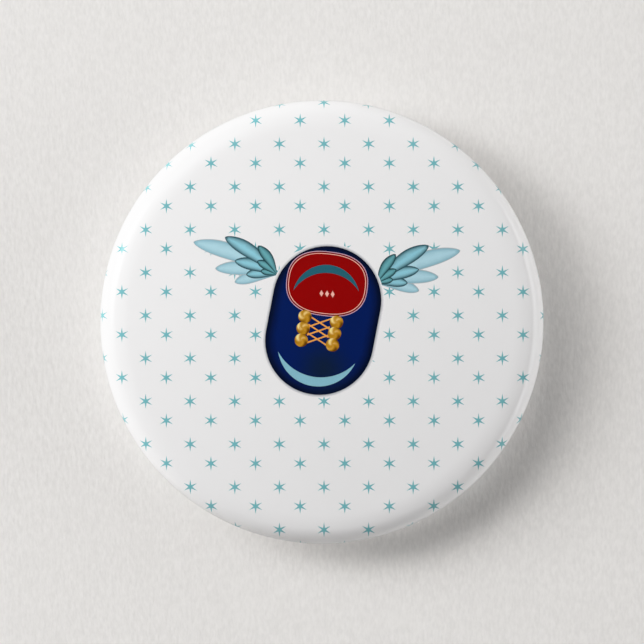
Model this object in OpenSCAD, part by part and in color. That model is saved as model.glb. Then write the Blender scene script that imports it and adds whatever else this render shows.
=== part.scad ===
/* [Badge] */
// Outside diameter of the finished badge
badge_d = 57.15; // [50:0.05:65]
// Height from the rear rim to the middle of the dome
badge_h = 7; // [6.6:0.1:8]
// Slope of the domed face where it meets the shoulder
dome_edge_angle = 8.2; // [7:0.1:9]
// Radius of the soft shoulder between the domed face and the corner
shoulder_r = 9; // [7:0.5:10]
// Slope of the face where the shoulder meets the corner
shoulder_edge_angle = 20.5; // [18:0.5:22]
// Radius of the round corner between the shoulder and the wall
corner_r = 3.04; // [2.9:0.02:3.2]
// Outside radius of the curled rear edge
curl_r = 0.95; // [0.9:0.05:1.1]
// Width of the flat ring that the badge rests on
rim_flat = 0.5; // [0.4:0.05:0.8]

/* [Layers] */
// Thickness of the clear film
film_t = 0.08; // [0.05:0.01:0.1]
// Thickness of the printed paper
paper_t = 0.1; // [0.08:0.01:0.12]
// Thickness of the front shell's tinplate
shell_t = 0.28; // [0.25:0.01:0.3]
// Gap between one layer and the next
layer_gap = 0.02; // [0.01:0.01:0.03]

/* [Back plate] */
// Thickness of the back plate's tinplate
plate_t = 0.25; // [0.2:0.01:0.3]
// Height of the plate's rear surface above the rear rim
plate_z = 3.9; // [3.8:0.05:4]
// Radius where the flat field ends and the slope begins
field_r = 24.6; // [24:0.1:24.8]
// Radius of the middle of the embossed ring
rib_r = 22.7; // [22.5:0.1:22.8]
// Depth of the embossed ring
rib_depth = 0.35; // [0.2:0.05:0.5]

/* [Pin] */
// Diameter of the pin wire
wire_d = 0.8; // [0.7:0.05:0.8]
// Height of the fixed leg above the rear rim
leg_z = 3.1; // [3:0.05:3.1]
// Distance of the fixed leg above the middle of the badge
leg_y = 5; // [3:0.5:7]
// Distance from the middle of the badge to the coil
coil_x = 17; // [16:0.5:18]
// Radius of the coil at the middle of the wire
coil_r = 1.55; // [1.5:0.05:1.6]
// Rise of the coil in one turn
coil_pitch = 0.95; // [0.95:0.01:1]
// Distance between leg and arm at the clasp
clasp_gap = 4; // [3.8:0.1:4.2]
// Direction in which the arm leaves the clasp, measured from the plate
exit_angle = 60; // [55:1:65]

/* [Hidden] */

$fn = 96;
badge_r = badge_d / 2;
wire_r = wire_d / 2;

// the dome is part of a sphere; dome, shoulder and corner run into one another with no kink
corner_x = badge_r - corner_r;
shoulder_x = corner_x - (shoulder_r - corner_r) * sin(shoulder_edge_angle);
dome_r = shoulder_x / sin(dome_edge_angle) + shoulder_r;
shoulder_z = badge_h - dome_r + (dome_r - shoulder_r) * cos(dome_edge_angle);
corner_z = shoulder_z + (shoulder_r - corner_r) * cos(shoulder_edge_angle);
curl_inner_r = badge_r - curl_r - rim_flat;
lip_z = curl_r + 0.4;

// depth of each layer's outer surface below the badge's outer surface
paper_depth = film_t + layer_gap;
shell_depth = paper_depth + paper_t + layer_gap;

// back plate: the flange passes over the curl's lip and turns down behind it
lip_gap = 0.07;
flange_z = lip_z + lip_gap + plate_t / 2;
field_z = plate_z + plate_t / 2;
slope_w = 1.15;
flange_r = curl_inner_r - curl_r + 1.15;
flange_end_z = 0.85;
rib_w = 1.6;

// bridges: two straps pushed out of the plate, over the leg
bridge_x = 9;
bridge_w = 2.6;
bridge_foot = 1.9;
kerf = 0.1;
leg_clearance = 0.1;
bridge_r = wire_r + leg_clearance + plate_t / 2;

// pin: the arm turns on a ball at the coil's end, with a little air before it
turns = 1.5;
pivot_gap = 0.05;
pivot = [-coil_x + wire_r + pivot_gap, leg_y - 2 * coil_r, leg_z - turns * coil_pitch];
cap_x = 14;
cap_len = 6.5;
tip = [cap_x + cap_len - 0.9, leg_y - clasp_gap, 2];
root_len = 3;
root_taper = 0.8;
blade_r = 0.95 * wire_r;
taper_len = 5.9;
point_r = 0.05;

// clasp: a folded sheet round the leg and the arm's point
cap_t = 0.25;
cap_leg_r = wire_r + 0.02;
cap_arm_r = wire_r + 0.2;
mouth_w = 2 * (wire_r + 0.09);

function unit(v) = v / norm(v);

function reverse(list) = [for (i = [len(list) - 1 : -1 : 0]) list[i]];

function arc(c, r, from, to, steps) =
    [for (i = [0 : steps]) let (a = from + (to - from) * i / steps) c + r * [cos(a), sin(a)]];

// a corner at b rounded with a smooth curve that starts and ends a distance t from it
function rounded(a, b, c, t, steps = 5) =
    let (u = b + t * unit(a - b), v = b + t * unit(c - b))
    [for (i = [0 : steps]) let (s = i / steps) (1 - s) * (1 - s) * u + 2 * s * (1 - s) * b + s * s * v];

// the sideways direction at a path's point, long enough to keep a strip's width at a bend
function sideways(path, i) =
    let (before = unit(path[max(i, 1)] - path[max(i, 1) - 1]),
        after = unit(path[min(i + 1, len(path) - 1)] - path[min(i, len(path) - 2)]),
        along = unit(before + after))
    [-along[1], along[0]] / (along * after);

// a strip of even thickness along a path
function strip(path, t) = concat(
    [for (i = [0 : len(path) - 1]) path[i] + sideways(path, i) * t / 2],
    [for (i = [len(path) - 1 : -1 : 0]) path[i] - sideways(path, i) * t / 2]);

// the outline round two circles
function stadium(c0, r0, c1, r1, steps) =
    let (line = c1 - c0, turn = atan2(line[1], line[0]), open = acos((r0 - r1) / norm(line)))
    concat(arc(c1, r1, turn - open, turn + open, steps),
        arc(c0, r0, turn + open, turn + 360 - open, steps));

// half section of the badge's outer skin at a depth below its surface, from the dome to the lip
function skin(depth) = concat(
    arc([0, badge_h - dome_r], dome_r - depth, 90, 90 - dome_edge_angle, 14),
    arc([shoulder_x, shoulder_z], shoulder_r - depth, 90 - dome_edge_angle, 90 - shoulder_edge_angle, 4),
    arc([corner_x, corner_z], corner_r - depth, 90 - shoulder_edge_angle, 0, 9),
    arc([badge_r - curl_r, curl_r], curl_r - depth, 0, -90, 6),
    arc([curl_inner_r, curl_r], curl_r - depth, -90, -180, 6),
    [[curl_inner_r - curl_r + depth, lip_z]]);

// one layer of the badge's skin
module layer(depth, t) {
    rotate_extrude()
        polygon(concat(skin(depth), reverse(skin(depth + t))));
}

function plate_path() =
    let (slope_top = [field_r, field_z],
        slope_foot = [field_r + slope_w, flange_z],
        hook = [flange_r, flange_z],
        hook_end = [flange_r, flange_end_z])
    concat([[0, field_z]],
        [for (i = [0 : 10]) [rib_r + rib_w * (i / 10 - 0.5),
            field_z - rib_depth * (1 - cos(36 * i)) / 2]],
        rounded([0, field_z], slope_top, slope_foot, 0.5),
        rounded(slope_top, slope_foot, hook, 0.35),
        rounded(slope_foot, hook, hook_end, 0.3),
        [hook_end]);

// section of a bridge, with the leg's axis at the origin
function bridge_path() =
    let (foot = [bridge_foot, field_z - leg_z],
        touch = atan2(foot[1], foot[0]) - acos(bridge_r / norm(foot)))
    concat([foot], arc([0, 0], bridge_r, touch, -180 - touch, 12), [[-foot[0], foot[1]]]);

module bridge() {
    translate([-bridge_w / 2, leg_y, leg_z])
        rotate([90, 0, 90])
            linear_extrude(bridge_w)
                polygon(strip(bridge_path(), plate_t));
}

module bridge_window() {
    translate([-bridge_w / 2 - kerf, leg_y - bridge_foot + kerf, plate_z - 1])
        cube([bridge_w + 2 * kerf, 2 * (bridge_foot - kerf), 2 + plate_t]);
}

// a round bar between two points
module bar(from, to, r) {
    line = to - from;
    translate(from)
        rotate([0, acos(line[2] / norm(line)), atan2(line[1], line[0])])
            cylinder(r = r, h = norm(line));
}

// the ring of points round the coil's wire at an angle along the coil
function coil_ring(a, sides) =
    let (middle = [coil_r * cos(a), coil_r * sin(a), -coil_pitch * (a - 90) / 360])
    [for (i = [0 : sides - 1]) let (b = 360 * i / sides)
        middle + wire_r * [cos(b) * cos(a), cos(b) * sin(a), sin(b)]];

module coil_wire(sides = 12, steps = 45) {
    rings = [for (i = [0 : steps]) coil_ring(90 + 360 * turns * i / steps, sides)];
    points = [for (ring = rings, p = ring) p];
    walls = [for (i = [0 : steps - 1], j = [0 : sides - 1])
        let (a = i * sides + j, b = i * sides + (j + 1) % sides)
        [a, a + sides, b + sides, b]];
    ends = [[for (j = [0 : sides - 1]) j], [for (j = [sides - 1 : -1 : 0]) steps * sides + j]];
    polyhedron(points, concat(walls, ends));
}

// the back faces +Y and the artwork's top is +Z, so the badge stands as it is worn
module as_worn() {
    rotate([90, 0, 0]) children();
}

module clear_film() {
    color([0.9, 0.95, 1, 0.3]) as_worn() layer(0, film_t);
}

module printed_disc() {
    color([0.9, 0.89, 0.87]) as_worn() layer(paper_depth, paper_t);
}

module front_shell() {
    color([0.72, 0.72, 0.7]) as_worn() layer(shell_depth, shell_t);
}

module back_plate() {
    color([0.78, 0.78, 0.76]) as_worn() {
        difference() {
            rotate_extrude() polygon(strip(plate_path(), plate_t));
            for (x = [-bridge_x, bridge_x]) translate([x, 0, 0]) bridge_window();
        }
        for (x = [-bridge_x, bridge_x]) translate([x, 0, 0]) bridge();
    }
}

module pin_fixed_leg() {
    color([0.8, 0.79, 0.76]) as_worn()
        bar([-coil_x, leg_y, leg_z], [cap_x + cap_len - 0.7, leg_y, leg_z], wire_r);
}

module pin_coil() {
    color([0.7, 0.69, 0.66]) as_worn()
        translate([-coil_x, leg_y - coil_r, leg_z]) coil_wire();
}

// the arm: a ball on the pivot, a root as thick as the wire, a slimmer blade and a sharp point
module pin_arm() {
    line = tip - pivot;
    blade_end = norm(line) - taper_len;
    color([0.85, 0.84, 0.8]) as_worn()
        translate(pivot)
            rotate([0, acos(line[2] / norm(line)), atan2(line[1], line[0])])
                rotate_extrude()
                    polygon(concat(arc([0, 0], wire_r, -90, 0, 8),
                        [[wire_r, root_len], [blade_r, root_len + root_taper], [blade_r, blade_end],
                        [0.6 * blade_r, blade_end + 0.6 * taper_len],
                        [point_r, norm(line)], [0, norm(line)]]));
}

module pin_cap() {
    leg_at = [leg_y, leg_z];
    arm_at = [tip[1], tip[2]];
    color([0.75, 0.74, 0.7]) as_worn()
        translate([cap_x, 0, 0])
            difference() {
                rotate([90, 0, 90])
                    linear_extrude(cap_len)
                        polygon(stadium(leg_at, cap_leg_r + cap_t, arm_at, cap_arm_r + cap_t, 14));
                translate([-1, 0, 0])
                    rotate([90, 0, 90])
                        linear_extrude(1 + cap_len - cap_t)
                            polygon(stadium(leg_at, cap_leg_r, arm_at, cap_arm_r, 14));
                translate([-1, tip[1], tip[2]])
                    rotate([exit_angle, 0, 0])
                        translate([0, -2, -mouth_w / 2])
                            cube([1 + cap_len - cap_t, 2, mouth_w]);
            }
}

clear_film();
printed_disc();
front_shell();
back_plate();
pin_fixed_leg();
pin_coil();
pin_arm();
pin_cap();
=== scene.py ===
"""Looks of a round pin-back button badge: printed face under film, tinplate back, nickel-plated safety pin.

The badge stands as it is worn. Its face looks to -Y, its back to +Y and the artwork's top to +Z.
Lengths are in millimetres in the badge's own terms until place() turns them into the frame's metres:
x to the right, y up the artwork, h above the plane of the rear rim, towards the face.
"""
import bisect
import math

import bmesh
import bpy
from mathutils import Matrix, Vector
from mathutils.geometry import delaunay_2d_cdt


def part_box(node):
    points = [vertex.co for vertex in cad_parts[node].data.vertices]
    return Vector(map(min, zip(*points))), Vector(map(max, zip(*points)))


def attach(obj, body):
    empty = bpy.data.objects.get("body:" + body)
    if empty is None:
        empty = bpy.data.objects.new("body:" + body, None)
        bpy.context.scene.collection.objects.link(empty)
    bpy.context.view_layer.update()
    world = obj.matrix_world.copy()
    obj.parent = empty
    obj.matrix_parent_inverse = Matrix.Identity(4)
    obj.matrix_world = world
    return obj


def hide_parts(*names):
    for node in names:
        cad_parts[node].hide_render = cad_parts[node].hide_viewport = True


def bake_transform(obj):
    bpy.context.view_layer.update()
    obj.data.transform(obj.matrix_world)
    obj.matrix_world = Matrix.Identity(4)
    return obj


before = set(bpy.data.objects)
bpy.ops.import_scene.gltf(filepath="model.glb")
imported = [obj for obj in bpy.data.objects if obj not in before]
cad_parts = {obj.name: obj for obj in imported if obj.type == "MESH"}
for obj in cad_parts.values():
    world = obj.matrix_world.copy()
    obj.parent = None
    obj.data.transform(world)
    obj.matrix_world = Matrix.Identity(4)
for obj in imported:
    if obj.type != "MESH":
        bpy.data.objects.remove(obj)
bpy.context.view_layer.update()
MM = 0.001
scene = bpy.context.scene


def place(x, y, h):
    """A point of the badge in the frame's metres."""
    return Vector((x, -h, y)) * MM


# ---------------------------------------------------------------- sizes

badge_low, badge_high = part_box("clear_film")
BADGE_R = (badge_high.x - badge_low.x) / 2 / MM
BADGE_H = (badge_high.y - badge_low.y) / MM
CORNER_R = 3.04
SHOULDER_R = 9.0
DOME_EDGE = math.radians(8.2)
SHOULDER_EDGE = math.radians(20.5)
CURL_R = 0.95
RIM_FLAT = 0.5
LIP_LEN, LIP_GAP = 0.4, 0.07
LIP_H = CURL_R + LIP_LEN
CORNER_X = BADGE_R - CORNER_R
SHOULDER_X = CORNER_X - (SHOULDER_R - CORNER_R) * math.sin(SHOULDER_EDGE)
DOME_R = SHOULDER_X / math.sin(DOME_EDGE) + SHOULDER_R
SHOULDER_H = BADGE_H - DOME_R + (DOME_R - SHOULDER_R) * math.cos(DOME_EDGE)
CORNER_H = SHOULDER_H + (SHOULDER_R - CORNER_R) * math.cos(SHOULDER_EDGE)
CURL_INNER_R = BADGE_R - CURL_R - RIM_FLAT

LAYER_GAP = 0.02
FILM_T = 0.08
PAPER_T = 0.1
SHELL_T = 0.28
PAPER_DEPTH = FILM_T + LAYER_GAP
SHELL_DEPTH = PAPER_DEPTH + PAPER_T + LAYER_GAP

PLATE_T = 0.25
PLATE_H = 3.9
FIELD_R = 24.6
FIELD_H = PLATE_H + PLATE_T / 2
SLOPE_W, HOOK_OFFSET = 1.15, 1.15
RIB_R, RIB_W, RIB_DEPTH = 22.7, 1.6, 0.35
FLANGE_R = CURL_INNER_R - CURL_R + HOOK_OFFSET
FLANGE_H = LIP_H + LIP_GAP + PLATE_T / 2
FLANGE_END_H = 0.85
BRIDGE_X, BRIDGE_W, BRIDGE_FOOT = 9.0, 2.6, 1.9
BRIDGE_T = PLATE_T - 0.02
KERF = 0.1
LEG_CLEARANCE = 0.1

WIRE_R = 0.4
LEG_Y, LEG_H = 5.0, 3.1
COIL_X, COIL_R, COIL_PITCH, COIL_TURNS = 17.0, 1.55, 0.95, 1.5
PIVOT_GAP = 0.05
PIVOT = (-COIL_X + WIRE_R + PIVOT_GAP, LEG_Y - 2 * COIL_R, LEG_H - COIL_TURNS * COIL_PITCH)
CAP_X, CAP_LEN, CAP_T = 14.0, 6.5, 0.25
CAP_ARM_R, CAP_LEG_R = WIRE_R + 0.2, WIRE_R + 0.02
MOUTH_GAP, CLASP_GAP = 0.09, 4.0
POINT_GAP, POINT_H = 0.9, 2.0
POINT = (CAP_X + CAP_LEN - POINT_GAP, LEG_Y - CLASP_GAP, POINT_H)
ROOT_LEN, ROOT_TAPER, BLADE_THINNER = 3.0, 0.8, 0.02
TAPER_LEN = 5.9
EXIT_ANGLE = math.radians(60)


# ---------------------------------------------------------------- mesh helpers

def add_piece(name, points, faces, body, nodes=(), material=None, sharp=40):
    """A mesh of frame points that rides on a body and stands for CAD nodes."""
    mesh = bpy.data.meshes.new(name)
    mesh.from_pydata(points, [], faces)
    mesh.validate()
    work = bmesh.new()
    work.from_mesh(mesh)
    bmesh.ops.recalc_face_normals(work, faces=work.faces)
    work.to_mesh(mesh)
    work.free()
    mesh.shade_smooth()
    mesh.set_sharp_from_angle(angle=math.radians(sharp))
    piece = bpy.data.objects.new(name, mesh)
    scene.collection.objects.link(piece)
    if material:
        mesh.materials.append(material)
    if body:
        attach(piece, body)
    if nodes:
        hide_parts(*nodes)
    return piece


def arc(cx, cy, r, start, end, steps):
    """Points on an arc, angles in degrees."""
    turns = [math.radians(start + (end - start) * i / steps) for i in range(steps + 1)]
    return [(cx + r * math.cos(a), cy + r * math.sin(a)) for a in turns]


def circle(r, steps):
    """Points on a whole circle round the middle, from +x, without the first one again at the end."""
    return [(r * math.cos(math.tau * i / steps), r * math.sin(math.tau * i / steps)) for i in range(steps)]


def turned(outline, segments):
    """Points and faces of a closed half section (r, h) turned about the badge's axis."""
    points, faces, rings = [], [], []
    for r, h in outline:
        count = segments if r > 1e-6 else 1
        rings.append((len(points), count))
        for i in range(count):
            a = math.tau * i / segments
            points.append(place(r * math.cos(a), r * math.sin(a), h))
    for (start, count), (after, after_count) in zip(rings, rings[1:] + rings[:1]):
        for i in range(segments):
            j = (i + 1) % segments
            corners = [start + i % count, start + j % count, after + j % after_count, after + i % after_count]
            kept = list(dict.fromkeys(corners))
            if len(kept) > 2:
                faces.append(kept)
    return points, faces


def rounded(a, b, c, cut, steps=6):
    """A corner at b rounded with a smooth curve that starts and ends the length cut from it."""
    a, b, c = Vector(a), Vector(b), Vector(c)
    u, v = b + cut * (a - b).normalized(), b + cut * (c - b).normalized()
    marks = [i / steps for i in range(steps + 1)]
    return [tuple((1 - s) ** 2 * u + 2 * s * (1 - s) * b + s * s * v) for s in marks]


def strip(path, t):
    """The closed outline of a strip of thickness t along a flat path."""
    points = [Vector(p) for p in path]
    left, right = [], []
    for i, p in enumerate(points):
        before = (points[max(i, 1)] - points[max(i, 1) - 1]).normalized()
        after = (points[min(i + 1, len(points) - 1)] - points[min(i, len(points) - 2)]).normalized()
        along = (before + after).normalized()
        side = Vector((-along.y, along.x)) / along.dot(after) * t / 2
        left.append(tuple(p + side))
        right.append(tuple(p - side))
    return left + right[::-1]


# ---------------------------------------------------------------- the badge's skin

DOME, SHOULDER, CORNER, WALL, CURL, FLAT, TUCK, LIP = range(8)
PRINT_R = DOME_R - PAPER_DEPTH
STRETCHES = [
    PRINT_R * DOME_EDGE,
    (SHOULDER_R - PAPER_DEPTH) * (SHOULDER_EDGE - DOME_EDGE),
    (CORNER_R - PAPER_DEPTH) * (math.pi / 2 - SHOULDER_EDGE),
    CORNER_H - CURL_R,
    (CURL_R - PAPER_DEPTH) * math.pi / 2,
    RIM_FLAT,
    (CURL_R - PAPER_DEPTH) * math.pi / 2,
    LIP_H - CURL_R,
]
RINGS_PER_STRETCH = (16, 6, 12, 2, 6, 1, 6, 1)
SKIN_LEN = sum(STRETCHES)
LEAST_SPREAD = 0.65
PRINT_SCALE = 0.9952
PLEAT_HEIGHT = 0.045


def skin_at(s, depth):
    """(r, h, outward r, outward h) on the skin, a length s of paper from its middle and a depth below it."""
    part = 0
    while part < LIP and s > STRETCHES[part]:
        s -= STRETCHES[part]
        part += 1
    share = min(s / STRETCHES[part], 1.0)
    if part in (WALL, LIP):
        side = 1 if part == WALL else -1
        r = BADGE_R - depth if part == WALL else CURL_INNER_R - CURL_R + depth
        low, high = (CORNER_H, CURL_R) if part == WALL else (CURL_R, LIP_H)
        return r, low + (high - low) * share, side, 0.0
    if part == FLAT:
        return BADGE_R - CURL_R - RIM_FLAT * share, depth, 0.0, -1.0
    cr, ch, radius, start, end = {
        DOME: (0.0, BADGE_H - DOME_R, DOME_R, math.pi / 2, math.pi / 2 - DOME_EDGE),
        SHOULDER: (SHOULDER_X, SHOULDER_H, SHOULDER_R, math.pi / 2 - DOME_EDGE, math.pi / 2 - SHOULDER_EDGE),
        CORNER: (CORNER_X, CORNER_H, CORNER_R, math.pi / 2 - SHOULDER_EDGE, 0.0),
        CURL: (BADGE_R - CURL_R, CURL_R, CURL_R, 0.0, -math.pi / 2),
        TUCK: (CURL_INNER_R, CURL_R, CURL_R, -math.pi / 2, -math.pi),
    }[part]
    a = start + (end - start) * share
    return cr + (radius - depth) * math.cos(a), ch + (radius - depth) * math.sin(a), math.cos(a), math.sin(a)


def skin_marks():
    """Lengths along the skin at which it gets a ring of points, closer together where it bends."""
    marks, start = [], 0.0
    for length, steps in zip(STRETCHES, RINGS_PER_STRETCH):
        marks += [start + length * i / steps for i in range(1, steps + 1)]
        start += length
    return marks


def print_table():
    """Pairs of print radius and length along the skin, ring by ring. The artwork is spread over the corner
    so that it looks flat from the front, up to a stretch of 1 in LEAST_SPREAD where the skin turns away.
    The artwork is drawn in units of PRINT_SCALE mm."""
    radius, before, table = 0.0, 0.0, [(0.0, 0.0)]
    for s in skin_marks():
        facing = abs(skin_at((before + s) / 2, PAPER_DEPTH)[3])
        bent = s <= sum(STRETCHES[:WALL]) + 1e-6
        radius += (s - before) * (max(facing, LEAST_SPREAD) if bent else 1.0) / PRINT_SCALE
        table.append((radius, s))
        before = s
    return table


def skin_length(table, radius):
    """Length along the skin at which a print radius lies."""
    k = min(max(bisect.bisect_left(table, (radius, 0.0)), 1), len(table) - 1)
    (r0, s0), (r1, s1) = table[k - 1], table[k]
    return s0 + (s1 - s0) * min(1.0, (radius - r0) / (r1 - r0))


def pleats(s, a):
    """How far the wrapped edge stands proud at an angle: film and paper gather in pleats behind the rim."""
    start = sum(STRETCHES[:CURL])
    share = max(0.0, min(1.0, (s - start) / (SKIN_LEN - start)))
    wave = math.sin(61 * a + 1.3 * math.sin(5 * a)) + 0.6 * math.sin(97 * a + 2.0 * math.cos(3 * a))
    return PLEAT_HEIGHT * share ** 1.5 * max(0.0, wave)


# ---------------------------------------------------------------- artwork

def ink(red, green, blue):
    """A printed colour, given in sRGB from 0 to 255, in linear terms."""
    def linear(v):
        v /= 255
        return v / 12.92 if v <= 0.04045 else ((v + 0.055) / 1.055) ** 2.4
    return Vector([linear(v) for v in (red, green, blue)])


def mixed(a, b, share):
    """From a to b as share runs from 0 to 1, slow at both ends."""
    share = max(0.0, min(1.0, share))
    share = share * share * (3 - 2 * share)
    return a + (b - a) * share


PAPER = ink(244, 243, 243)
TEAL = ink(118, 186, 193)
NAVY, NAVY_EDGE, NAVY_DEEP = ink(0, 27, 90), ink(0, 10, 36), ink(10, 30, 58)
RED, RED_GAP = ink(148, 0, 0), ink(118, 2, 10)
LAVENDER, SALMON = ink(208, 168, 188), ink(244, 186, 170)
CRESCENT = ink(38, 98, 114)
TOE = ink(138, 192, 207)
LACE = ink(240, 166, 76)
GOLD_DARK, GOLD, GOLD_LIGHT = ink(104, 60, 4), ink(196, 140, 30), ink(255, 240, 160)
SHADE = ink(176, 178, 184)

artwork = []  # painted from first to last: (outline, colour at a point)


def paint(outline, colour):
    """Adds a shape, counterclockwise; its colour is one colour or a function of a point."""
    turn = sum(a[0] * b[1] - b[0] * a[1] for a, b in zip(outline, outline[1:] + outline[:1]))
    shade = colour if callable(colour) else lambda p, c=colour: c
    artwork.append((outline if turn > 0 else outline[::-1], shade))


def star(cx, cy, outer=0.98, inner=0.26, spikes=6):
    """A small star with one spike straight up."""
    radii = [outer, inner] * spikes
    turns = [math.pi / 2 + math.pi * i / spikes for i in range(2 * spikes)]
    return [(cx + r * math.cos(a), cy + r * math.sin(a)) for r, a in zip(radii, turns)]


def paint_stars():
    """Two upright grids of little stars, the second set off from the first, over the whole sheet."""
    pitch_x, pitch_y, reach = 5.74, 5.52, 7
    farthest = print_table()[-1][0] - 1.2
    for shift_x, shift_y in ((-2.81, 3.88), (0.26, 0.84)):
        for i in range(-reach, reach + 1):
            for j in range(-reach, reach + 1):
                x, y = shift_x + pitch_x * i, shift_y + pitch_y * j
                if math.hypot(x, y) < farthest:
                    paint(star(x, y), TEAL)


def capsule(top, bottom, r, steps=32):
    """Two half circles round top and bottom, joined by straight sides."""
    tilt = math.degrees(math.atan2(top[1] - bottom[1], top[0] - bottom[0]))
    upper = arc(top[0], top[1], r, tilt - 90, tilt + 90, steps)
    return upper + arc(bottom[0], bottom[1], r, tilt + 90, tilt + 270, steps)


def capsule_edge(p, top, bottom, r):
    """How far inside a capsule's outline a point is."""
    top, bottom, p = Vector(top), Vector(bottom), Vector(p)
    along = top - bottom
    share = max(0.0, min(1.0, (p - bottom).dot(along) / along.length_squared))
    return r - (p - bottom - along * share).length


def oval(cx, cy, half_w, half_h, tilt, power=2.5, steps=72):
    """A superellipse: rounder than a box and squarer than an ellipse."""
    points, a = [], math.radians(tilt)
    for i in range(steps):
        t = math.tau * i / steps
        x = half_w * math.copysign(abs(math.cos(t)) ** (2 / power), math.cos(t))
        y = half_h * math.copysign(abs(math.sin(t)) ** (2 / power), math.sin(t))
        points.append((cx + x * math.cos(a) - y * math.sin(a), cy + x * math.sin(a) + y * math.cos(a)))
    return points


def crescent(left, right, outer_rise, inner_rise, steps=24):
    """A moon between two tips, bounded by two arcs that rise to the left of the line between them."""
    a, b = Vector(left), Vector(right)
    along = b - a
    side = Vector((-along.y, along.x)).normalized()

    def bow(rise):
        half = along.length / 2
        r = (half * half + rise * rise) / (2 * rise)
        open_angle = math.asin(min(1.0, half / r))
        if abs(rise) > half:
            open_angle = math.pi - open_angle
        middle = (a + b) / 2 + side * (rise - r)
        unit = along.normalized()
        turns = [open_angle * (2 * i / steps - 1) for i in range(steps + 1)]
        return [tuple(middle + unit * r * math.sin(t) + side * r * math.cos(t)) for t in turns]

    return bow(outer_rise) + bow(inner_rise)[-2:0:-1]


def line(start, end, width):
    """A straight stroke."""
    a, b = Vector(start), Vector(end)
    side = (b - a).normalized() * width / 2
    side = Vector((-side.y, side.x))
    return [tuple(p) for p in (a + side, a - side, b - side, b + side)]


def leaf_width(t):
    """A feather's half width, 1 at its widest, along its length from the root at 0 to the round tip at 1."""
    return math.sin(math.pi * min(1.0, max(0.0, t)) ** 1.55) ** 0.62 if 0 < t < 1 else 0.0


class Feather:
    """A leaf-shaped feather from a root, with its own rounded tip and a slight upward bow."""

    def __init__(self, root, length, angle, width, side, bow=0.05):
        self.root, self.length, self.width, self.bow = Vector(root), length, width, bow
        self.along = Vector((side * math.cos(angle), math.sin(angle)))
        self.across = Vector((-side * math.sin(angle), math.cos(angle)))

    def point(self, t, share):
        """The point at t along the feather and share of its half width across it."""
        rise = self.bow * self.length * math.sin(math.pi * t)
        offset = rise + share * self.width * leaf_width(t)
        return tuple(self.root + self.along * self.length * t + self.across * offset)

    def outline(self, share=1.0, start=0.0, end=1.0, steps=18):
        """Its outline, or the one a share of its width and from start to end of its length."""
        marks = [start + (end - start) * (1 - math.cos(math.pi * i / steps)) / 2 for i in range(steps + 1)]
        upper = [self.point(t, share) for t in marks]
        lower = [self.point(t, -share) for t in marks]
        return upper + lower[-2:0:-1]

    def across_share(self, p):
        """Where a point lies between the midrib, 0, and the edge, 1."""
        d = Vector(p) - self.root
        t = d.dot(self.along) / self.length
        rise = self.bow * self.length * math.sin(math.pi * min(1.0, max(0.0, t)))
        half = self.width * leaf_width(t)
        return min(1.0, abs(d.dot(self.across) - rise) / half) if half > 1e-3 else 1.0

    def along_share(self, p):
        """Where a point lies between the root, 0, and the tip, 1."""
        return min(1.0, max(0.0, (Vector(p) - self.root).dot(self.along) / self.length))


# one row per layer of a wing: its longest feather's length, angle and half width, the turn from feather to
# feather, and the colours of a feather's middle, its edge and the line round it
WING_LAYERS = [
    (11.5, 21.5, 0.98, 15.5, ink(182, 219, 230), ink(136, 182, 196), ink(176, 186, 190)),
    (8.2, 36.0, 0.84, 17.5, ink(148, 208, 222), ink(46, 82, 92), ink(46, 82, 92)),
    (4.4, 57.0, 0.56, 21.5, ink(108, 176, 184), ink(34, 66, 72), ink(34, 66, 72)),
]
FEATHER_RATIO = 0.69
FEATHER_LINE = 0.1


def paint_wing(root, side):
    """Three layers of three feathers that fan out from a root, each layer shorter than the one under it."""
    for length, angle, width, turn, middle, edge, rim in WING_LAYERS:
        for k in (2, 1, 0):
            reach, lean = length * FEATHER_RATIO ** k, math.radians(angle - turn * k)
            feather = Feather(root, reach, lean, width * FEATHER_RATIO ** (k / 2), side)
            around = Feather(root, reach + FEATHER_LINE, lean, feather.width + FEATHER_LINE, side)
            paint(around.outline(), rim)

            def colour(p, f=feather, a=middle, b=edge):
                across, along = f.across_share(p), f.along_share(p)
                return mixed(a, b, 0.8 * across ** 2 + 0.4 * (1 - along) ** 2 + 0.3 * along ** 4)

            paint(feather.outline(), colour)
            paint(feather.outline(share=0.62, start=0.04, end=0.965), colour)
            paint(feather.outline(share=0.05, start=0.06, end=0.94), colour)


SHOE_TOP, SHOE_BOTTOM, SHOE_R = (0.65, 2.78), (-0.34, -2.40), 6.97
SHOE_SHADOW = 0.35


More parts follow.
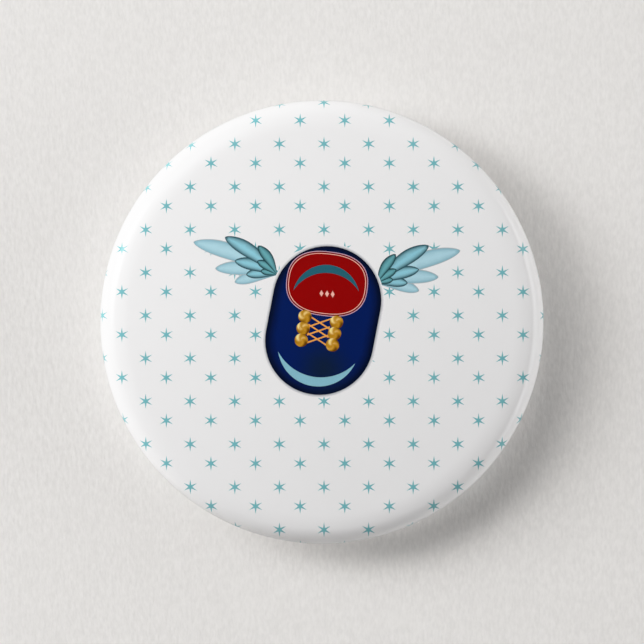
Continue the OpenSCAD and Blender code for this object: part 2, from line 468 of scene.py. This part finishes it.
def paint_shoe():
    """A plain baby shoe from above: a rounded body, a round opening with three diamonds, and a light toe."""
    def shadow(p):
        return mixed(PAPER, SHADE, 1 + capsule_edge(p, SHOE_TOP, SHOE_BOTTOM, SHOE_R) / SHOE_SHADOW)

    def body(p):
        inside = capsule_edge(p, SHOE_TOP, SHOE_BOTTOM, SHOE_R)
        low = 1 - math.hypot(p[0] - 0.2, p[1] + 6.0) / 4.5
        return mixed(mixed(NAVY_EDGE, NAVY, inside / 1.5), NAVY_DEEP, low)

    paint(capsule(SHOE_TOP, SHOE_BOTTOM, SHOE_R + SHOE_SHADOW), shadow)
    for inset in (0.0, 0.35, 0.8, 1.5, 2.6, 4.2):
        paint(capsule(SHOE_TOP, SHOE_BOTTOM, SHOE_R - inset), body)
    paint(crescent((4.26, -5.32), (-5.63, -3.81), 3.71, 2.51), TOE)
    for inset, colour in ((0.0, LAVENDER), (0.09, RED_GAP), (0.27, SALMON), (0.36, RED)):
        paint(oval(0.65, 4.91, 5.25 - inset, 4.15 - inset, -7), colour)
    paint(crescent((-3.70, 4.03), (4.74, 3.90), 3.39, 2.34), CRESCENT)
    for k in (-1, 0, 1):
        x, y = 0.65 + 0.72 * k, 3.62 - 0.06 * k
        paint([(x + 0.25, y), (x, y + 0.42), (x - 0.25, y), (x, y - 0.42)], SALMON)


def paint_laces():
    """Three crossed laces between two columns of gold beads."""
    top, bottom, half_len, width = Vector((-0.28, -0.09)), Vector((-0.63, -2.2)), 1.55, 0.19
    for k in range(3):
        middle = top + (bottom - top) * k / 2
        for slope in (-33, 19):
            a = math.radians(slope)
            reach = Vector((math.cos(a), math.sin(a))) * half_len
            paint(line(middle - reach, middle + reach, width), LACE)


BEAD_R = 0.86


def paint_bead(cx, cy, turn):
    """A glossy gold bead: bright towards the upper left, with a darker rim and a soft swirl."""
    def colour(p):
        dx, dy = (p[0] - cx) / BEAD_R, (p[1] - cy) / BEAD_R
        out, a = math.hypot(dx, dy), math.atan2(dy, dx)
        light = 0.58 - 0.3 * out ** 3 + 0.22 * (dy - dx) + 0.3 * out * math.sin(3 * a + 5 * out + turn)
        return mixed(mixed(GOLD_DARK, GOLD, 2 * light), GOLD_LIGHT, 2 * light - 1)

    for share in (1.0, 0.92, 0.78, 0.63, 0.48, 0.34, 0.2):
        paint(arc(cx, cy, BEAD_R * share, 0, 350, 35), colour)


def paint_artwork():
    """Everything on the print, from the bottom up."""
    paint_stars()
    paint_wing((-5.75, 6.05), -1)
    paint_wing((7.0, 4.95), 1)
    paint_shoe()
    paint_laces()
    for k in range(3):
        paint_bead(-2.18 - 0.24 * k, 0.70 - 1.52 * k, 1.0 + k)
        paint_bead(1.87 - 0.26 * k, -0.03 - 1.46 * k, 2.2 + k)


SHEET_SEGMENTS = 384
SHELL_SEGMENTS = 192


def printed_face(material):
    """The paper: its printed side cut up along every outline of the artwork, then wrapped round the shell."""
    table = print_table()
    marks = skin_marks()
    outlines = [circle(radius, SHEET_SEGMENTS) for radius, _ in table[:0:-1]]
    outlines += [outline for outline, _ in artwork]
    flat, loops = [(0.0, 0.0)], []
    for outline in outlines:
        loops.append(list(range(len(flat), len(flat) + len(outline))))
        flat += outline
    flat, _, cells, _, _, sources = delaunay_2d_cdt([Vector(p) for p in flat], [], loops, 1, 1e-4, True)
    rings = len(marks)
    edge = {}
    points, normals = [], []
    for i, p in enumerate(flat):
        s, a = skin_length(table, p.length), math.atan2(p.y, p.x)
        if p.length > table[-1][0] - 1e-3:
            edge[round(a / math.tau * SHEET_SEGMENTS) % SHEET_SEGMENTS] = i
        r, h, out_r, out_h = skin_at(min(s, SKIN_LEN), PAPER_DEPTH - pleats(s, a))
        points.append(place(r * math.cos(a), r * math.sin(a), h))
        normals.append(Vector((out_r * math.cos(a), -out_h, out_r * math.sin(a))))
    faces, colours = [], []
    for cell, source in zip(cells, sources):
        corners = [Vector(points[i]) for i in cell]
        shown = max(source)
        colour = artwork[shown - rings][1] if shown >= rings else lambda p: PAPER
        outward = (corners[1] - corners[0]).cross(corners[2] - corners[0]).dot(normals[cell[0]])
        order = cell if outward > 0 else cell[::-1]
        faces.append(order)
        colours.append([colour(flat[i]) for i in order])
    # the plain inner side, joined to the printed side round the edge
    inner, start = [], len(points)
    for s in marks:
        r, h, out_r, out_h = skin_at(s, PAPER_DEPTH + PAPER_T)
        for i in range(SHEET_SEGMENTS):
            a = math.tau * i / SHEET_SEGMENTS
            points.append(place(r * math.cos(a), r * math.sin(a), h))
            normals.append(-Vector((out_r * math.cos(a), -out_h, out_r * math.sin(a))))
    middle = len(points)
    points.append(place(0, 0, BADGE_H - PAPER_DEPTH - PAPER_T))
    normals.append(Vector((0, 1, 0)))
    for i in range(SHEET_SEGMENTS):
        j = (i + 1) % SHEET_SEGMENTS
        inner.append([start + i, start + j, middle])
        for k in range(len(marks) - 1):
            low = start + k * SHEET_SEGMENTS
            inner.append([low + i, low + SHEET_SEGMENTS + i, low + SHEET_SEGMENTS + j, low + j])
        last = start + (len(marks) - 1) * SHEET_SEGMENTS
        inner.append([edge[i], edge[j], last + j, last + i])
    faces += inner
    colours += [[PAPER] * len(face) for face in inner]
    mesh = bpy.data.meshes.new("printed_face")
    mesh.from_pydata(points, [], faces)
    mesh.shade_smooth()
    inks = mesh.color_attributes.new("ink", "FLOAT_COLOR", "CORNER")
    inks.data.foreach_set("color", [v for face in colours for c in face for v in (*c, 1.0)])
    mesh.normals_split_custom_set_from_vertices(normals)
    mesh.materials.append(material)
    piece = bpy.data.objects.new("printed_face", mesh)
    scene.collection.objects.link(piece)
    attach(piece, "badge")
    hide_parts("printed_disc")
    return piece


# ---------------------------------------------------------------- film and tinplate

def layer(name, cad_node, depth, t, material, segments, pleated):
    """One wrapped layer, t thick, whose outer side lies depth below the surface."""
    marks = skin_marks()
    points, faces = [], []
    for side, below in ((0, depth), (1, depth + t)):
        points.append(place(0, 0, BADGE_H - below))
        first = side * (len(marks) * segments + 1)
        for s in marks:
            for i in range(segments):
                a = math.tau * i / segments
                r, h = skin_at(s, below - (pleats(s, a) if pleated else 0.0))[:2]
                points.append(place(r * math.cos(a), r * math.sin(a), h))
        for i in range(segments):
            j = (i + 1) % segments
            faces.append([first, first + 1 + i, first + 1 + j])
            for k in range(len(marks) - 1):
                low = first + 1 + k * segments
                faces.append([low + i, low + segments + i, low + segments + j, low + j])
    outer = (len(marks) - 1) * segments + 1
    inner = outer + len(marks) * segments + 1
    for i in range(segments):
        j = (i + 1) % segments
        faces.append([outer + i, outer + j, inner + j, inner + i])
    return add_piece(name, points, faces, "badge", [cad_node], material)


def plate_path():
    """Middle of the plate's sheet in (r, h): field with its embossed ring, slope, flange and hook."""
    top, foot = (FIELD_R, FIELD_H), (FIELD_R + SLOPE_W, FLANGE_H)
    hook, hook_end = (FLANGE_R, FLANGE_H), (FLANGE_R, FLANGE_END_H)
    rib, steps = [], 20
    for i in range(steps + 1):
        rise = RIB_DEPTH * (1 - math.cos(math.tau * i / steps)) / 2
        rib.append((RIB_R + RIB_W * (i / steps - 0.5), FIELD_H - rise))
    bends = rounded((0, FIELD_H), top, foot, 0.5) + rounded(top, foot, hook, 0.35)
    return [(0, FIELD_H)] + rib + bends + rounded(foot, hook, hook_end, 0.3) + [hook_end]


def apply_modifiers(piece):
    """Bakes a piece's modifiers into its mesh."""
    graph = bpy.context.evaluated_depsgraph_get()
    mesh = bpy.data.meshes.new_from_object(piece.evaluated_get(graph))
    piece.modifiers.clear()
    piece.data = mesh


def bevel(piece, width, angle=35, segments=2):
    """Rounds a piece's edges that are sharper than an angle."""
    modifier = piece.modifiers.new("edges", "BEVEL")
    modifier.width = width * MM
    modifier.segments = segments
    modifier.limit_method = "ANGLE"
    modifier.angle_limit = math.radians(angle)
    modifier.harden_normals = False
    apply_modifiers(piece)


def extruded(outline, x0, x1):
    """Points and faces of an outline in (y, h) drawn out along x."""
    count = len(outline)
    points = [place(x, y, h) for x in (x0, x1) for y, h in outline]
    faces = [list(range(count))[::-1], list(range(count, 2 * count))]
    for i in range(count):
        j = (i + 1) % count
        faces.append([i, j, count + j, count + i])
    return points, faces


def back_plate(material):
    """The recessed plate, with a window under each bridge."""
    points, faces = turned(strip(plate_path(), PLATE_T), SHELL_SEGMENTS)
    plate = add_piece("back_plate_disc", points, faces, None, material=material)
    half_w, half_h, r = BRIDGE_W / 2 + KERF, BRIDGE_FOOT - KERF, 0.25
    for side in (-1, 1):
        outline = []
        for across, up, start in ((1, 1, 0), (-1, 1, 90), (-1, -1, 180), (1, -1, 270)):
            cx, cy = side * BRIDGE_X + across * (half_w - r), LEG_Y + up * (half_h - r)
            outline += arc(cx, cy, r, start, start + 90, 5)
        count = len(outline)
        points = [place(x, y, h) for h in (PLATE_H - 1, PLATE_H + 1) for x, y in outline]
        faces = [list(range(count)), list(range(count, 2 * count))]
        faces += [[i, (i + 1) % count, count + (i + 1) % count, count + i] for i in range(count)]
        cutter = add_piece("cutter", points, faces, None)
        cut = plate.modifiers.new("window", "BOOLEAN")
        cut.operation, cut.solver, cut.object = "DIFFERENCE", "EXACT", cutter
        apply_modifiers(plate)
        bpy.data.objects.remove(cutter)
    plate.data.set_sharp_from_angle(angle=math.radians(30))
    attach(plate, "badge")
    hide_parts("back_plate")
    return plate


def bridge(side, material):
    """A strap pushed out of the plate over the fixed leg: level at its feet, then over the wire."""
    r = WIRE_R + LEG_CLEARANCE + PLATE_T / 2
    foot = (BRIDGE_FOOT, FIELD_H - LEG_H)
    touch = math.degrees(math.atan2(foot[1], foot[0]) - math.acos(r / math.hypot(*foot)))
    over = arc(0, 0, r, touch, -180 - touch, 20)
    foot_len, sunk = 0.45, 0.01
    level = (foot[0] + foot_len, foot[1] - sunk)
    bend = rounded(level, foot, over[0], 0.3)
    path = [level] + bend + over + [(-y, h) for y, h in bend[::-1]] + [(-level[0], level[1])]
    outline = [(LEG_Y + y, LEG_H + h) for y, h in strip(path, BRIDGE_T)]
    x = side * BRIDGE_X
    points, faces = extruded(outline, x - BRIDGE_W / 2, x + BRIDGE_W / 2)
    name = "bridge_clasp_side" if side > 0 else "bridge_coil_side"
    piece = add_piece(name, points, faces, None, material=material)
    bevel(piece, 0.05)
    piece.data.shade_smooth()
    piece.data.set_sharp_from_angle(angle=math.radians(50))
    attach(piece, "badge")
    return piece


# ---------------------------------------------------------------- the safety pin

def tube(name, path, radii, material, sides=20):
    """A round wire along a path of badge points, closed at both ends."""
    spots = [place(*p) for p in path]
    points, faces, tangents = [], [], []
    for i in range(len(spots)):
        tangents.append((spots[min(i + 1, len(spots) - 1)] - spots[max(i - 1, 0)]).normalized())
    across = tangents[0].orthogonal().normalized()
    for spot, tangent, r in zip(spots, tangents, radii):
        across = (across - tangent * across.dot(tangent)).normalized()
        up = tangent.cross(across)
        for j in range(sides):
            a = math.tau * j / sides
            points.append(spot + (across * math.cos(a) + up * math.sin(a)) * r * MM)
    for i in range(len(spots) - 1):
        for j in range(sides):
            k = (j + 1) % sides
            faces.append([i * sides + j, i * sides + k, (i + 1) * sides + k, (i + 1) * sides + j])
    faces.append(list(range(sides))[::-1])
    faces.append([(len(spots) - 1) * sides + j for j in range(sides)])
    return add_piece(name, points, faces, None, material=material, sharp=60)


def coil_point(a):
    """A point on the coil's wire; a runs from 90 degrees, at the leg, through the turns."""
    t = math.radians(a)
    return (-COIL_X + COIL_R * math.cos(t), LEG_Y - COIL_R + COIL_R * math.sin(t),
            LEG_H - COIL_PITCH * (a - 90) / 360)


def pin_wire(material):
    """Leg and coil in one piece, and the arm, which takes over at the coil's end."""
    end = 90 + 360 * COIL_TURNS
    leg_end, leg_step, thinner = CAP_X + CAP_LEN - 0.7, 1.5, 0.004
    leg = [(leg_end - i * leg_step, LEG_Y, LEG_H) for i in range(24)]
    turns = [coil_point(90 + (end - 90) * i / 96) for i in range(97)]
    frame_wire = tube("pin_leg_and_coil", leg + turns, [WIRE_R] * (len(leg) + len(turns)), material)
    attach(frame_wire, "pin_frame")
    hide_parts("pin_fixed_leg", "pin_coil")

    root = [coil_point(end - 14 + 2 * i) for i in range(7)]
    pivot, point = Vector(PIVOT), Vector(POINT)
    reach = (point - pivot).length
    marks = [i * 0.35 for i in range(24)] + [8.4 + i for i in range(21)]
    marks += [reach - TAPER_LEN * (1 - i / 12) for i in range(13)]
    path, radii = list(root), [WIRE_R - thinner] * len(root)
    for mark in sorted(marks):
        path.append(tuple(pivot + (point - pivot) * mark / reach))
        thick = WIRE_R - BLADE_THINNER * max(0.0, min(1.0, (mark - ROOT_LEN) / ROOT_TAPER))
        left = (reach - mark) / TAPER_LEN
        radii.append(max(0.02, thick * min(1.0, left) ** 0.8) if left < 1 else thick)
    arm = tube("pin_arm_wire", path, radii, material)
    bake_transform(arm)
    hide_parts("pin_arm")
    return frame_wire, arm


def cap_path():
    """Middle of the clasp's sheet in (y, h): from its mouth, round the arm and the leg, and back again."""
    arm_r, leg_r = CAP_ARM_R + CAP_T / 2, CAP_LEG_R + CAP_T / 2
    arm_y, arm_h = POINT[1], POINT[2]
    turn = math.degrees(math.atan2(arm_h - LEG_H, arm_y - LEG_Y)) % 360
    spread = math.degrees(math.acos((leg_r - arm_r) / math.hypot(arm_y - LEG_Y, arm_h - LEG_H)))
    spare = 4  # degrees more, so that the sheet's inner edges clear the arm too
    half_mouth = math.degrees(math.asin((WIRE_R + MOUTH_GAP) / arm_r)) + spare
    mouth = 180 + math.degrees(EXIT_ANGLE)
    before = arc(arm_y, arm_h, arm_r, mouth - half_mouth, turn - spread, 14)
    round_leg = arc(LEG_Y, LEG_H, leg_r, turn - spread, turn + spread - 360, 22)
    after = arc(arm_y, arm_h, arm_r, turn + spread, mouth + half_mouth, 14)
    return before + round_leg + after


def pin_clasp(material):
    """The clasp: a folded sheet with a rounded end, open where the arm slips out."""
    overlap = CAP_T - 0.05  # of the folded sheet and the end that closes it
    points, faces = extruded(strip(cap_path(), CAP_T), CAP_X, CAP_X + CAP_LEN - CAP_T + overlap)
    clasp = add_piece("clasp_cap", points, faces, None, material=material)
    bevel(clasp, 0.07, angle=50, segments=3)
    clasp.data.shade_smooth()
    clasp.data.set_sharp_from_angle(angle=math.radians(50))
    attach(clasp, "pin_frame")
    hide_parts("pin_cap")
    tilt, half_turn = 18, 88  # about the lean of the line from arm to leg, and half of the leg's round end
    closing = arc(POINT[1], POINT[2], CAP_ARM_R + CAP_T, tilt + half_turn, tilt - half_turn + 360, 20)
    closing += arc(LEG_Y, LEG_H, CAP_LEG_R + CAP_T, tilt - half_turn, tilt + half_turn, 20)
    points, faces = extruded(closing, CAP_X + CAP_LEN - CAP_T, CAP_X + CAP_LEN)
    end = add_piece("clasp_end", points, faces, None, material=material)
    bevel(end, 0.12, angle=50, segments=4)
    end.data.shade_smooth()
    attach(end, "pin_frame")
    return clasp, end


# ---------------------------------------------------------------- materials

def new_material(name):
    """A material with its node tree and its Principled shader."""
    material = bpy.data.materials.new(name)
    material.use_nodes = True
    tree = material.node_tree
    shader = tree.nodes["Principled BSDF"]
    return material, tree, shader


def node(tree, kind, **settings):
    """A new node. A setting is one of its properties or, with spaces for underscores, one of its inputs."""
    made = tree.nodes.new(kind)
    for key, value in settings.items():
        if hasattr(made, key):
            setattr(made, key, value)
        else:
            made.inputs[key.replace("_", " ")].default_value = value
    return made


def noise_map(tree, scale, stretch=(1, 1, 1), detail=3.0, roughness=0.5):
    """A noise over the object's own coordinates, in features per metre."""
    where = node(tree, "ShaderNodeTexCoord")
    mapping = node(tree, "ShaderNodeMapping")
    mapping.inputs["Scale"].default_value = stretch
    noise = node(tree, "ShaderNodeTexNoise", Scale=scale, Detail=detail, Roughness=roughness)
    tree.links.new(where.outputs["Object"], mapping.inputs["Vector"])
    tree.links.new(mapping.outputs["Vector"], noise.inputs["Vector"])
    return noise.outputs["Fac"]


def relief(tree, shader, layers):
    """Stacks bumps of (height, distance in metres, strength) on a shader's normal."""
    before = None
    for height, distance, strength in layers:
        bump = node(tree, "ShaderNodeBump", Distance=distance, Strength=strength)
        tree.links.new(height, bump.inputs["Height"])
        if before:
            tree.links.new(before, bump.inputs["Normal"])
        before = bump.outputs["Normal"]
    tree.links.new(before, shader.inputs["Normal"])


def ramp(tree, source, target, low, high, start=0.3, end=0.7):
    """Maps a noise's middle range to a range of values."""
    scale = node(tree, "ShaderNodeMapRange", From_Min=start, From_Max=end, To_Min=low, To_Max=high)
    tree.links.new(source, scale.inputs["Value"])
    tree.links.new(scale.outputs["Result"], target)


def printed_paper():
    """The print's inks under a soft gloss."""
    material, tree, shader = new_material("printed_paper")
    colour = node(tree, "ShaderNodeVertexColor", layer_name="ink")
    tree.links.new(colour.outputs["Color"], shader.inputs["Base Color"])
    noise = noise_map(tree, 900, detail=4.0)
    relief(tree, shader, [(noise, 0.000012, 0.25)])
    ramp(tree, noise, shader.inputs["Roughness"], 0.30, 0.38)
    shader.inputs["Specular IOR Level"].default_value = 0.05
    shader.inputs["Coat Weight"].default_value = 0.5
    shader.inputs["Coat Roughness"].default_value = 0.13
    return material


def clear_film():
    """Almost wholly clear: the gloss that a film gives comes from the coat on the printed paper."""
    material, tree, shader = new_material("clear_film")
    shader.inputs["Base Color"].default_value = (0.04, 0.04, 0.04, 1)
    shader.inputs["Alpha"].default_value = 0.02
    noise = noise_map(tree, 160, detail=4.0)
    relief(tree, shader, [(noise, 0.00002, 0.2)])
    ramp(tree, noise, shader.inputs["Roughness"], 0.1, 0.2)
    return material


def patchy(tree, shader, colour, darker, noise, start=0.3, end=0.7):
    """Colours a shader by a noise, from a colour down to a darker share of it."""
    tint = node(tree, "ShaderNodeMix", data_type="RGBA")
    tint.inputs["A"].default_value = (*colour, 1)
    tint.inputs["B"].default_value = (*[c * darker for c in colour], 1)
    ramp(tree, noise, tint.inputs["Factor"], 0, 1, start, end)
    tree.links.new(tint.outputs["Result"], shader.inputs["Base Color"])


def sheet_metal(name, colour, grain_stretch, rough=(0.23, 0.35), waviness=0.5):
    """Bright sheet or wire: fine rolling lines, soft waviness, cloudy dullness and scattered scuffs."""
    material, tree, shader = new_material(name)
    shader.inputs["Metallic"].default_value = 1.0
    grain = noise_map(tree, 5000, grain_stretch, 4.0)
    waves = noise_map(tree, 90, detail=1.0)
    cloud = noise_map(tree, 200, detail=2.0)
    scuffs = noise_map(tree, 900, grain_stretch, 6.0, 0.7)
    relief(tree, shader, [(waves, 0.0002, waviness), (grain, 0.000006, 0.5)])
    dull = node(tree, "ShaderNodeMath", operation="MULTIPLY_ADD")
    dull.inputs[1].default_value = 0.35
    tree.links.new(grain, dull.inputs[0])
    tree.links.new(cloud, dull.inputs[2])
    ramp(tree, dull.outputs["Value"], shader.inputs["Roughness"], *rough, 0.45, 0.9)
    patchy(tree, shader, colour, 0.88, scuffs, 0.46, 0.74)
    return material


def backdrop_material():
    """Pale paper on the badge's side, nothing at all from behind."""
    material, tree, shader = new_material("backdrop")
    shader.inputs["Roughness"].default_value = 0.9
    shader.inputs["Specular IOR Level"].default_value = 0.1
    colour, streaks = (0.825, 0.803, 0.782), (1, 1, 0.4)
    relief(tree, shader, [(noise_map(tree, 2050, streaks, 4.0), 0.00008, 0.7)])
    patchy(tree, shader, colour, 0.91, noise_map(tree, 3000, streaks, 3.0))
    geometry = node(tree, "ShaderNodeNewGeometry")
    clear = node(tree, "ShaderNodeBsdfTransparent")
    choice = node(tree, "ShaderNodeMixShader")
    output = tree.nodes["Material Output"]
    tree.links.new(geometry.outputs["Backfacing"], choice.inputs["Fac"])
    tree.links.new(shader.outputs["BSDF"], choice.inputs[1])
    tree.links.new(clear.outputs["BSDF"], choice.inputs[2])
    tree.links.new(choice.outputs["Shader"], output.inputs["Surface"])
    return material


# ---------------------------------------------------------------- stage, lights and camera

def flat_sheet(name, points, faces, material):
    """A plain object with one material, for the stage."""
    mesh = bpy.data.meshes.new(name)
    mesh.from_pydata(points, [], faces)
    mesh.materials.append(material)
    sheet = bpy.data.objects.new(name, mesh)
    scene.collection.objects.link(sheet)
    return sheet


def make_stage():
    """A paper wall close behind the badge. The round piece under the badge shows to the camera alone,
    so that rear lights reach the badge's back but not its front edge."""
    gap, reach, under_r, steps = 1.8, 250.0, BADGE_R - 0.28, 128
    material = backdrop_material()
    inner, outer = ([place(x, y, -gap) for x, y in circle(r, steps)] for r in (under_r, reach))
    around = [[i, steps + i, steps + (i + 1) % steps, (i + 1) % steps] for i in range(steps)]
    wall = flat_sheet("backdrop", inner + outer, around, material)
    under = flat_sheet("backdrop_under", inner, [list(range(steps))], material)
    for paper in (wall, under):
        if paper.data.polygons[0].normal.y > 0:
            paper.data.flip_normals()
    under.visible_shadow = under.visible_diffuse = under.visible_glossy = False


def make_flag():
    """A black card round the lens, unseen by the camera, keeps reflections off the middle of the dome."""
    distance, r, steps = 500.0, 215.0, 48
    material, _, shader = new_material("black_card")
    shader.inputs["Base Color"].default_value = (0.01, 0.01, 0.01, 1)
    shader.inputs["Roughness"].default_value = 0.9
    points = [place(x, y, distance) for x, y in circle(r, steps)]
    card = flat_sheet("black_card", points, [list(range(steps))], material)
    card.visible_camera = False


def soft_light(name, side, off_axis, distance, size, power, behind=False, width=None, feather=0.0):
    """A softbox: side is its direction round the badge from +x, off_axis its angle from straight on.
    It is a disk, or as wide as width round the badge. Feather is the share of it that fades at its edge."""
    side, off_axis = math.radians(side), math.radians(off_axis)
    depth = math.cos(off_axis) * (1 if behind else -1)
    out = math.sin(off_axis)
    spot = Vector((math.cos(side) * out, depth, math.sin(side) * out)) * distance
    light = bpy.data.lights.new(name, "AREA")
    light.shape = "ELLIPSE" if width else "DISK"
    light.size = width or size
    light.size_y = size
    light.energy = power
    lamp = bpy.data.objects.new(name, light)
    lamp.location = spot
    forward = -spot.normalized()
    across = Vector((-math.sin(side), 0, math.cos(side)))
    lamp.rotation_euler = Matrix((across, across.cross(forward), -forward)).transposed().to_euler()
    if feather:
        light.use_nodes = True
        tree = light.node_tree
        where = node(tree, "ShaderNodeNewGeometry")
        from_middle = node(tree, "ShaderNodeVectorMath", operation="DISTANCE")
        from_middle.inputs[1].default_value = (0.5, 0.5, 0)
        fade = node(tree, "ShaderNodeMapRange", interpolation_type="SMOOTHSTEP",
                    From_Min=0.5 * (1 - feather), From_Max=0.5, To_Min=1, To_Max=0)
        tree.links.new(where.outputs["Parametric"], from_middle.inputs[0])
        tree.links.new(from_middle.outputs["Value"], fade.inputs["Value"])
        tree.links.new(fade.outputs["Result"], tree.nodes["Emission"].inputs["Strength"])
    scene.collection.objects.link(lamp)


def make_world():
    """A dim room, lighter above and behind, that the camera itself sees as plain pale grey."""
    mean, rise, seen_grey = 0.435, (0.0, 0.18, 0.13), 0.72
    world = bpy.data.worlds.new("pale_room")
    world.use_nodes = True
    tree = world.node_tree
    where = node(tree, "ShaderNodeTexCoord")
    lighter = node(tree, "ShaderNodeVectorMath", operation="DOT_PRODUCT")
    lighter.inputs[1].default_value = rise
    level = node(tree, "ShaderNodeMath", operation="ADD")
    level.inputs[1].default_value = mean
    seen = node(tree, "ShaderNodeLightPath")
    strength = node(tree, "ShaderNodeMix", data_type="FLOAT")
    strength.inputs["B"].default_value = seen_grey
    background = tree.nodes["Background"]
    background.inputs["Color"].default_value = (1, 1, 1, 1)
    tree.links.new(where.outputs["Generated"], lighter.inputs[0])
    tree.links.new(lighter.outputs["Value"], level.inputs[0])
    tree.links.new(level.outputs["Value"], strength.inputs["A"])
    tree.links.new(seen.outputs["Is Camera Ray"], strength.inputs["Factor"])
    tree.links.new(strength.outputs["Result"], background.inputs["Strength"])
    scene.world = world


def make_lights():
    """Two from the upper left, a low strip at the right for the thin rim light, and three for the back."""
    soft_light("key", 163, 63, 1.0, 0.9, 28.4, feather=0.9)
    soft_light("key_above", 132, 47, 0.9, 0.55, 6.4, width=0.85, feather=0.9)
    soft_light("fill_right", -1, 81, 0.9, 0.42, 5.1, width=1.4)
    soft_light("back_key", 110, 42, 0.6, 0.30, 2.4, behind=True)
    soft_light("back_panel", -25, 52, 0.9, 0.6, 0.55, behind=True)
    soft_light("back_middle", 60, 16, 1.4, 0.5, 0.4, behind=True)
    make_world()


def soften_highlights():
    """Tones up to 0.8 stay as they are. Brighter ones, up to top, ease into white."""
    top = 1.42
    settings = scene.view_settings
    settings.view_transform = "Standard"
    settings.use_curve_mapping = True
    mapping = settings.curve_mapping
    mapping.white_level = (top, top, top)
    curve = mapping.curves[3]
    curve.points[1].location = (1, 1)
    for level, shown in ((0.4, 0.4), (0.8, 0.8), (0.95, 0.903), (1.13, 0.965), (1.3, 0.995)):
        curve.points.new(level / top, shown)
    for point in list(curve.points)[:2]:
        point.handle_type = "VECTOR"
    mapping.update()


def make_camera():
    """Straight on, from far enough for a nearly flat view. The badge is share of the picture's width."""
    lens, sensor, share = 400.0, 36.0, 0.6903
    data = bpy.data.cameras.new("camera")
    data.lens, data.sensor_width = lens, sensor
    camera = bpy.data.objects.new("camera", data)
    distance = lens / sensor * 2 * BADGE_R / share * MM
    camera.location = (0, -distance - CORNER_H * MM, 0)
    camera.rotation_euler = (math.pi / 2, 0, 0)
    scene.collection.objects.link(camera)
    scene.camera = camera


# ---------------------------------------------------------------- build

soften_highlights()
make_camera()
paint_artwork()
printed_face(printed_paper())
layer("film_skin", "clear_film", 0.0, FILM_T, clear_film(), SHEET_SEGMENTS, pleated=True)
shell_tin = sheet_metal("shell_tin", (0.7, 0.7, 0.69), (1, 1, 0.03))
layer("shell_dome", "front_shell", SHELL_DEPTH, SHELL_T, shell_tin, SHELL_SEGMENTS,
      pleated=False)
plate_tin = sheet_metal("plate_tin", (0.8, 0.8, 0.79), (0.03, 1, 1))
back_plate(plate_tin)
for side in (-1, 1):
    bridge(side, plate_tin)
wire_steel = sheet_metal("wire_nickel", (0.82, 0.8, 0.76), (0.05, 1, 1), (0.12, 0.26), 0.1)
pin_wire(wire_steel)
pin_clasp(sheet_metal("clasp_nickel", (0.76, 0.75, 0.71), (0.05, 1, 1), (0.14, 0.3), 0.3))
make_stage()
make_flag()
make_lights()
